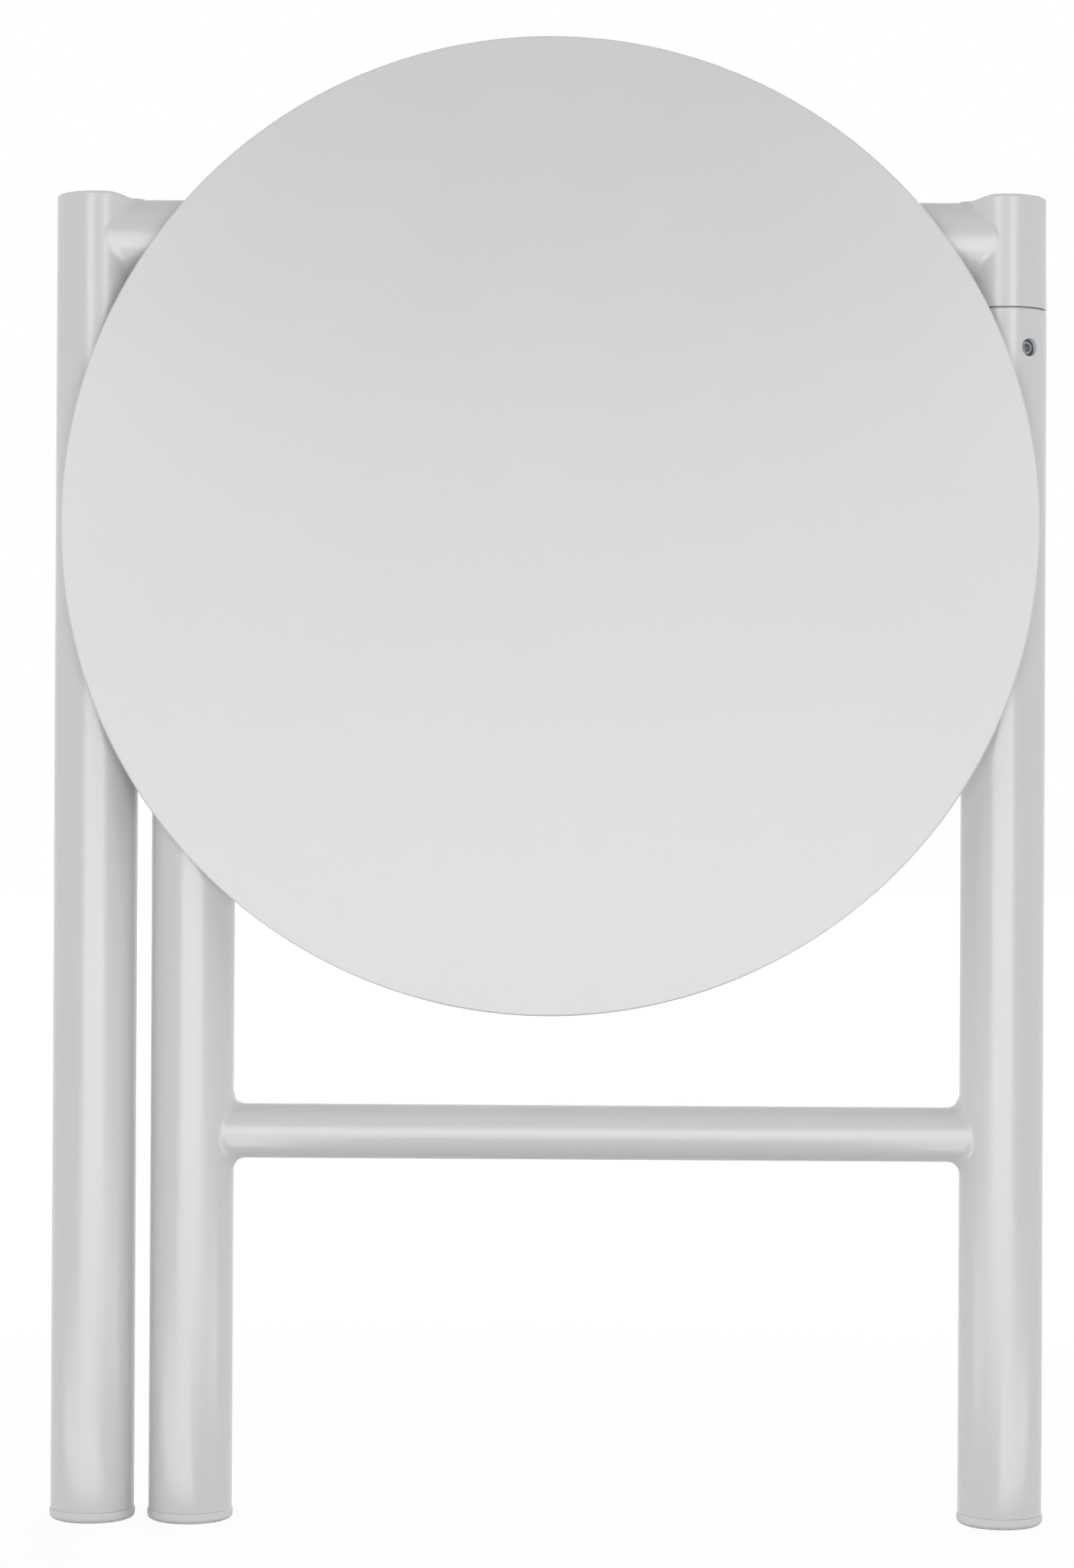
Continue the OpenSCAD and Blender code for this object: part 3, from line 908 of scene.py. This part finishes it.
class STOOL_OT_seat(bpy.types.Operator):
    """Add the round seat and the bumpers on its back"""

    bl_idname = "stool.seat"
    bl_label = "Seat Disc"

    def execute(self, context):
        s = context.scene.stool_sizes
        thick = SEAT_BACK - SEAT_FRONT
        disc = ease_corners(
            [(0, -thick), (SEAT_R * 0.5, -thick), (SEAT_R, -thick), (SEAT_R, 0),
             (SEAT_R * 0.5, 0), (0, 0)],
            [0, 0, s.seat_edge, s.seat_edge, 0, 0])
        coated("seat_plate", moved(lathe(disc, 384), behind_seat(0, SEAT_Z, SEAT_BACK)),
               SEAT, "seat_disc")
        deep = BUMPER_END - SEAT_BACK
        bumper = ease_corners([(0, 0), (BUMPER_R, 0), (BUMPER_R, deep), (0, deep)],
                              [0, 0, 0.35 * MM, 0])
        for name, x in (("bumper_left", -BUMPER_X), ("bumper_right", BUMPER_X)):
            piece(name + "_pad", moved(lathe(bumper, 64), behind_seat(x, SEAT_Z, SEAT_BACK)),
                  finish_for("pad_rubber"), SEAT, "pad_rubber", name)
        return {"FINISHED"}


class STOOL_OT_seat_hinge(bpy.types.Operator):
    """Add the hinge sleeves, their liners, saddles, weld beads and screws"""

    bl_idname = "stool.seat_hinge"
    bl_label = "Seat Hinge"

    def execute(self, context):
        s = context.scene.stool_sizes
        half = KNUCKLE_LONG / 2
        reach, run_steps = half * 0.94, 72
        bead_r, pitch, lift = 1.5 * MM, 1.3 * MM, 0.5 * MM
        for side, x in (("left", -KNUCKLE_X), ("right", KNUCKLE_X)):
            bore = LINER_R + FIT
            outline = tube_outline(KNUCKLE_R, bore, -half, half,
                                   0.6 * MM, 0.6 * MM, 0.2 * MM)
            sleeve = pierced_tube(outline, KNUCKLE_R, bore, s.screw_hole / 2,
                                  0.0, 0.0, 0.3 * MM)
            place = along_bar(x, UPPER_Z)
            coated("seat_sleeve_" + side, moved(sleeve, place), SEAT, "knuckle_" + side,
                   trim=self.flatten)
            outline = tube_outline(LINER_R, UPPER_R + FIT, -half, half,
                                   0.3 * MM, 0.3 * MM, 0.3 * MM)
            piece("seat_liner_" + side, moved(lathe(outline, 96), place),
                  finish_for("nylon"), SEAT, "nylon", "knuckle_bush_" + side)
            coated("seat_saddle_" + side, self.saddle(x, half), SEAT, "saddle_" + side)
            refinish("knuckle_screw_" + side, finish_for("bare_steel"))
            for edge, z in (("upper", SADDLE_HIGH / 2), ("lower", -SADDLE_HIGH / 2)):
                path = [Vector((x - reach + 2 * reach * i / run_steps,
                                SEAT_BACK + lift, UPPER_Z + z))
                        for i in range(run_steps + 1)]
                coated(f"saddle_bead_{edge}_{side}", bead(path, bead_r, pitch), SEAT,
                       sharp=80.0)
        return {"FINISHED"}

    @staticmethod
    def flatten(edit):
        """Flattens a sleeve on the side of the disc."""
        for vert in edit.verts:
            vert.co.y = max(vert.co.y, SLEEVE_FLAT)

    def saddle(self, x, half):
        """The block under a sleeve, hollowed to hold it, with eased ends."""
        inner = KNUCKLE_R + 0.02 * MM
        tall = SADDLE_HIGH / 2
        reach, steps = math.acos(-SADDLE_BACK / inner), 32
        hollow = []
        for i in range(steps + 1):
            a = reach - 2 * reach * i / steps
            hollow.append((max(-inner * math.cos(a), SLEEVE_FLAT), inner * math.sin(a)))
        ease = 0.5 * MM
        section = ease_corners(
            [(SEAT_BACK, -tall), (SEAT_BACK, tall), (SADDLE_BACK, tall), *hollow,
             (SADDLE_BACK, -tall)],
            [0, 0, ease] + [0] * len(hollow) + [ease], 4)
        rings = []
        for where, shrink in ((-half, ease), (-half + 0.15 * ease, 0.4 * ease),
                              (-half + ease, 0.0), (half - ease, 0.0),
                              (half - 0.15 * ease, 0.4 * ease), (half, ease)):
            rings.append([Vector((x + where, y, UPPER_Z + z * (1 - shrink / tall)))
                          for y, z in section])
        return skin(rings, closed=False)


class STOOL_OT_support(bpy.types.Operator):
    """Add the support post under the seat, its weld and its rubber pad"""

    bl_idname = "stool.support"
    bl_label = "Seat Support"

    def execute(self, context):
        place = behind_seat(0, SUPPORT_Z, SEAT_BACK)
        tall = SUPPORT_END - SEAT_BACK
        post = ease_corners(
            [(0, 0), (SUPPORT_R, 0), (SUPPORT_R, tall), (0, tall)],
            [0, 0, 0.5 * MM, 0])
        coated("support_rod", moved(lathe(post, 96), place), SEAT, "support_post")
        wide = extent("support_weld").x / 2 - SUPPORT_R
        sunk, arc_steps = SUPPORT_R - 0.3 * MM, 16
        arc = [(sunk, 0), (sunk, wide)]
        for i in range(arc_steps + 1):
            a = math.pi + math.pi / 2 * i / arc_steps
            arc.append((SUPPORT_R + wide + wide * math.cos(a), wide + wide * math.sin(a)))
        verts, faces = lathe([Vector(p) for p in arc], 160)
        verts = [v + Vector((v.x, v.y, 0)).normalized() * self.ripple(v, wide) for v in verts]
        coated("support_bead", moved((verts, faces), place), SEAT, "support_weld")
        end = PAD_END - SEAT_BACK
        groove, groove_half, groove_deep = (tall + end) / 2, 0.4 * MM, 0.5 * MM
        pad = ease_corners(
            [(0, tall), (PAD_R, tall), (PAD_R, groove - groove_half),
             (PAD_R - groove_deep, groove), (PAD_R, groove + groove_half), (PAD_R, end),
             (0, end)],
            [0, 0.5 * MM, 0.1 * MM, 0.15 * MM, 0.1 * MM, 0.9 * MM, 0])
        piece("support_foot", moved(lathe(pad, 96), place), finish_for("pad_rubber"),
              SEAT, "pad_rubber", "support_pad")
        return {"FINISHED"}

    @staticmethod
    def ripple(v, wide):
        """The swell of the weld's run at one place round the post."""
        swell, half_waves = 0.5 * MM, 14
        out = math.hypot(v.x, v.y) - SUPPORT_R
        if out < 0 or v.z < 0.02 * MM:
            return 0.0
        turn = math.atan2(v.y, v.x)
        share = max(0.0, 1 - v.z / wide) * max(0.0, 1 - out / wide)
        return swell * share * abs(math.sin(turn * half_waves))


class STOOL_OT_swivel(bpy.types.Operator):
    """Add the swivel's flanged bush and finish its spindle, sleeve and screw"""

    bl_idname = "stool.swivel"
    bl_label = "Swivel"

    def execute(self, context):
        low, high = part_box("hinge_bush_upper")
        flange_r = (high.x - low.x) / 2
        spindle_r = 8.0 * MM  # below its head, which the node's box can't tell
        bore = spindle_r + FIT
        barrel = bore + 1.4 * MM
        outline = ease_corners(
            [(bore, low.z), (barrel, low.z), (barrel, SEAM_LOW), (flange_r, SEAM_LOW),
             (flange_r, high.z), (bore, high.z)],
            [0.2 * MM, 0.3 * MM, 0.1 * MM, 0.12 * MM, 0.12 * MM, 0.2 * MM])
        piece("swivel_bush", moved(lathe(outline), at(RIGHT_X)), finish_for("nylon"),
              SWING, "nylon", "hinge_bush_upper")
        refinish("hinge_bush_lower", finish_for("nylon"))
        for node in ("hinge_spindle", "hinge_sleeve", "hinge_screw"):
            refinish(node, finish_for("bare_steel"))
        return {"FINISHED"}


# Stage


# Name, place, point aimed at, width and height in metres, power property, and
# whether the lamp only adds a reflection, as a pale wall or table does
LAMPS = (
    ("front_softbox", (0, -1.7, 0.17), (0, 0, 0.17), (1.9, 0.3), "front_power", False),
    ("upper_softbox", (0, -1.7, 0.47), (0, 0, 0.47), (1.7, 0.3), "upper_power", False),
    ("left_sheen", (-0.66, -1.65, 0.70), (-0.15, 0, 0.42), (0.56, 0.4),
     "side_power", True),
    ("right_sheen", (0.66, -1.65, 0.70), (0.15, 0, 0.42), (0.56, 0.4),
     "side_power", True),
    ("far_sheen", (0, -1.1, 2 * MM), (0, -1.1, 1), (1.3, 1.0), "floor_power", True),
    ("near_sheen", (0, -0.39, 2 * MM), (0, -0.39, 1), (0.8, 0.22), "near_power", True),
    ("left_foot_sheen", (-0.26, -0.165, 2 * MM), (-0.26, -0.165, 1), (0.32, 0.23),
     "foot_power", True),
    ("right_foot_sheen", (0.3, -0.165, 2 * MM), (0.3, -0.165, 1), (0.32, 0.23),
     "foot_power", True),
    ("back_softbox", (0.3, 2.0, 1.3), (0, 0, 0.3), (2.0, 1.2), "back_power", False),
)


def soft_lamp(name, place, aim, size, power):
    """A rectangular soft lamp at a place, aimed at a point."""
    data = bpy.data.lights.new(name, "AREA")
    data.shape = "RECTANGLE"
    data.size, data.size_y = size
    data.energy = power
    lamp = bpy.data.objects.new(name, data)
    lamp.location = place
    lamp.rotation_euler = (Vector(aim) - Vector(place)).to_track_quat("-Z", "Y").to_euler()
    bpy.context.scene.collection.objects.link(lamp)
    return lamp


class Surround(Finish):
    """The world's nodes, made by the same method as a finish's."""

    def __init__(self, name):
        self.world = bpy.data.worlds.new(name)
        self.world.use_nodes = True
        self.tree = self.world.node_tree
        self.tree.nodes.clear()
        self.place = self.node("TexCoord")["Generated"]


def shown(finish):
    """1 for the rays that see the backdrop, and 0 for those that it lights."""
    path = finish.node("LightPath")
    seen = path["Is Camera Ray"] + path["Is Glossy Ray"] + path["Is Transmission Ray"]
    return seen.clamped()


class STOOL_OT_stage(bpy.types.Operator):
    """Add the floor, the lamps, the pale surroundings and the camera"""

    bl_idname = "stool.stage"
    bl_label = "Stage"

    def execute(self, context):
        scene = context.scene
        stage = scene.stool_stage
        self.camera(scene, stage)
        self.floor(scene)
        self.world(scene, stage.side_light)
        for name, place, aim, size, power, only_sheen in LAMPS:
            lamp = soft_lamp(name, place, aim, size, getattr(stage, power))
            if only_sheen:
                lamp.visible_camera = lamp.visible_diffuse = False
        scene.view_settings.view_transform = "Standard"
        return {"FINISHED"}

    @staticmethod
    def camera(scene, stage):
        """The camera at the photograph's place and angle."""
        data = bpy.data.cameras.new("photo_view")
        data.lens = stage.lens
        data.sensor_width = 36.0
        data.sensor_fit = "AUTO"
        data.clip_start, data.clip_end = 0.05, 60.0
        camera = bpy.data.objects.new("photo_view", data)
        camera.matrix_world = (
            Matrix.Translation((stage.camera_x, -stage.camera_distance, stage.camera_height))
            @ Matrix.Rotation(stage.camera_turn, 4, "Z")
            @ Matrix.Rotation(math.pi / 2 + stage.camera_tilt, 4, "X")
            @ Matrix.Rotation(stage.camera_roll, 4, "Z")
        )
        scene.collection.objects.link(camera)
        scene.camera = camera

    @staticmethod
    def floor(scene):
        """A matte floor that shows as white. The rays that see it still find a
        share of its shadows, most of it near the stool."""
        half, steps = 8.0, 8
        verts, faces = [], []
        for i in range(steps + 1):
            for j in range(steps + 1):
                verts.append((half * (2 * i / steps - 1), half * (2 * j / steps - 1), 0))
        for i in range(steps):
            for j in range(steps):
                a = i * (steps + 1) + j
                faces.append((a, a + steps + 1, a + steps + 2, a + 1))
        mesh = bpy.data.meshes.new("studio_floor")
        mesh.from_pydata(verts, [], faces)
        f = Finish("white_floor")
        grain = f.noise(60.0, 3.0, 0.5, seed=1.0)
        colour = f.blend(grain, (0.48, 0.48, 0.48), (0.52, 0.52, 0.52))
        matte = f.node("BsdfDiffuse", {}, {"Color": colour})["BSDF"]
        white = f.node("Emission", {}, {"Color": (1, 1, 1, 1), "Strength": 1.09})["Emission"]
        away = f.node("VectorMath", {"operation": "LENGTH"}, {0: f.place})["Value"]
        share = shown(f) * (0.86 + away.over(0.35, 1.6) * 0.14)
        mixed = f.node("MixShader", {}, {0: share, 1: matte, 2: white})[0]
        f.node("OutputMaterial", {}, {"Surface": mixed})
        mesh.materials.append(f.material)
        floor = bpy.data.objects.new("studio_floor", mesh)
        scene.collection.objects.link(floor)

    @staticmethod
    def world(scene, level):
        """A surround that lights the stool from both sides and shows as white."""
        w = Surround("pale_surround")
        across = w.axis("X")
        light = level * across * across
        seen = shown(w)
        back = w.node("Background", {}, {"Color": (1, 1, 1, 1),
                                         "Strength": seen + (1.0 - seen) * light})
        w.node("OutputWorld", {}, {"Surface": back["Background"]})
        scene.world = w.world


class STOOL_PT_panel(bpy.types.Panel):
    """Lists the stool's sizes, colours and pieces"""

    bl_label = "Folding Stool"
    bl_idname = "STOOL_PT_panel"
    bl_space_type = "VIEW_3D"
    bl_region_type = "UI"
    bl_category = "Stool"

    def draw(self, context):
        layout = self.layout
        scene = context.scene
        for group in (scene.stool_sizes, scene.stool_colours, scene.stool_stage):
            box = layout.box()
            for name in group.__annotations__:
                box.prop(group, name)
        for operator in OPERATORS:
            layout.operator(operator.bl_idname)


OPERATORS = (
    STOOL_OT_stage, STOOL_OT_legs, STOOL_OT_crossbars, STOOL_OT_fillets, STOOL_OT_feet,
    STOOL_OT_seat, STOOL_OT_seat_hinge, STOOL_OT_support, STOOL_OT_swivel,
)
CLASSES = (StoolSizes, StoolColours, StoolStage, *OPERATORS, STOOL_PT_panel)


def register():
    """Adds the classes, and the property groups to the scene."""
    for cls in CLASSES:
        bpy.utils.register_class(cls)
    bpy.types.Scene.stool_sizes = bpy.props.PointerProperty(type=StoolSizes)
    bpy.types.Scene.stool_colours = bpy.props.PointerProperty(type=StoolColours)
    bpy.types.Scene.stool_stage = bpy.props.PointerProperty(type=StoolStage)


def unregister():
    """Takes away what register adds."""
    del bpy.types.Scene.stool_stage
    del bpy.types.Scene.stool_colours
    del bpy.types.Scene.stool_sizes
    for cls in reversed(CLASSES):
        bpy.utils.unregister_class(cls)


def main():
    """Builds the stage and every piece in order."""
    register()
    for operator in OPERATORS:
        group, name = operator.bl_idname.split(".")
        getattr(getattr(bpy.ops, group), name)()


if __name__ == "__main__":
    main()
